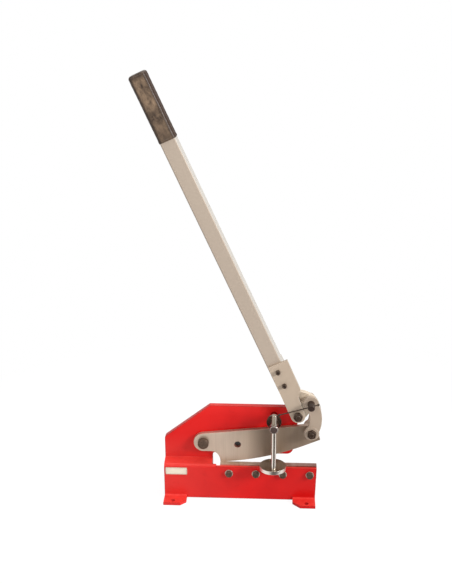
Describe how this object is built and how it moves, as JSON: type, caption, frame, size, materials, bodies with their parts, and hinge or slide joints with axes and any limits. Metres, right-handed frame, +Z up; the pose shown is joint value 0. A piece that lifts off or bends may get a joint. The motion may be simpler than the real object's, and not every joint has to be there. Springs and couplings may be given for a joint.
{
  "type": "bench lever shear",
  "caption": "Bench lever shear with a long square handle, crescent links, a curved moving blade over a fixed blade and an adjustable hold-down foot.",
  "frame": {"origin": "centre of the four foot holes, on the bench", "axes": "+X along the blades towards the handle pivot, +Z up, the front with the hold-down towards -Y"},
  "size_m": [0.3796, 0.1155, 0.8955],
  "materials": {
    "red_paint": "gloss",
    "grey_paint": "satin",
    "blade_steel": "ground",
    "dark_bolt": "black oxide",
    "bright_steel": "turned",
    "chrome": "polished",
    "bronze": "turned",
    "vinyl": "gloss",
    "label_plate": "satin"
  },
  "bodies": {
    "frame": {"front_plate": "red_paint", "rear_plate": "red_paint", "name_plate": "label_plate", "lower_blade": "blade_steel", "lower_blade_bolts": "dark_bolt", "lower_blade_washers": "dark_bolt", "blade_pivot_bolt": "dark_bolt", "blade_pivot_bush": "bronze", "blade_pivot_washer": "dark_bolt", "blade_pivot_nut": "dark_bolt", "handle_pivot_bolt": "dark_bolt", "handle_pivot_nut": "dark_bolt", "handle_pivot_washer": "dark_bolt", "bar_die_bush": "dark_bolt", "hold_down_stud": "bright_steel", "hold_down_sleeve": "dark_bolt", "hold_down_washer": "dark_bolt", "hold_down_nut": "dark_bolt"},
    "blade": {"upper_blade": "blade_steel", "link_bolt": "dark_bolt", "link_nut": "dark_bolt", "link_washers": "dark_bolt", "link_spacers": "dark_bolt"},
    "handle": {"handle_tube": "grey_paint", "handle_grip": "vinyl", "front_fork_plate": "grey_paint", "rear_fork_plate": "grey_paint", "crank_block": "grey_paint", "handle_screws": "dark_bolt", "handle_screw_nuts": "dark_bolt", "crank_pin": "dark_bolt", "crank_pin_ring": "dark_bolt"},
    "cross_bar": {"crank_pin_bar": "dark_bolt"},
    "links": {"front_link": "grey_paint", "rear_link": "grey_paint"},
    "rod": {"hold_down_rod": "chrome"},
    "foot": {"hold_down_foot": "bright_steel"}
  },
  "joints": [
    {"name": "handle_pivot", "type": "hinge", "parent": "frame", "child": "handle", "pos_m": [0.1205, 0.005, 0.197], "axis": [0, 1, 0], "range_deg": [0, 84]},
    {"name": "blade_pivot", "type": "hinge", "parent": "frame", "child": "blade", "pos_m": [-0.078, 0.003, 0.124], "axis": [0, 1, 0], "range_deg": [0, 13]},
    {"name": "link_pivot", "type": "hinge", "parent": "handle", "child": "links", "pos_m": [0.1465, 0.005, 0.226], "axis": [0, 1, 0], "range_deg": [-81, 0]},
    {"name": "cross_bar_slide", "type": "slide", "parent": "handle", "child": "cross_bar", "axis": [0.9553, 0, 0.2957], "range_m": [-0.0049, 0.0575]},
    {"name": "rod_slide", "type": "slide", "parent": "frame", "child": "rod", "axis": [0, 0, 1], "range_m": [-0.0045, 0.07]},
    {"name": "foot_swivel", "type": "hinge", "parent": "rod", "child": "foot", "pos_m": [0.071, -0.054, 0.088], "axis": [0, 0, 1], "continuous": true}
  ],
  "couplings": [
    {"joint": "blade_pivot", "follows": "handle_pivot", "ratio": 0.15427},
    {"joint": "link_pivot", "follows": "handle_pivot", "ratio": -0.96314}
  ]
}
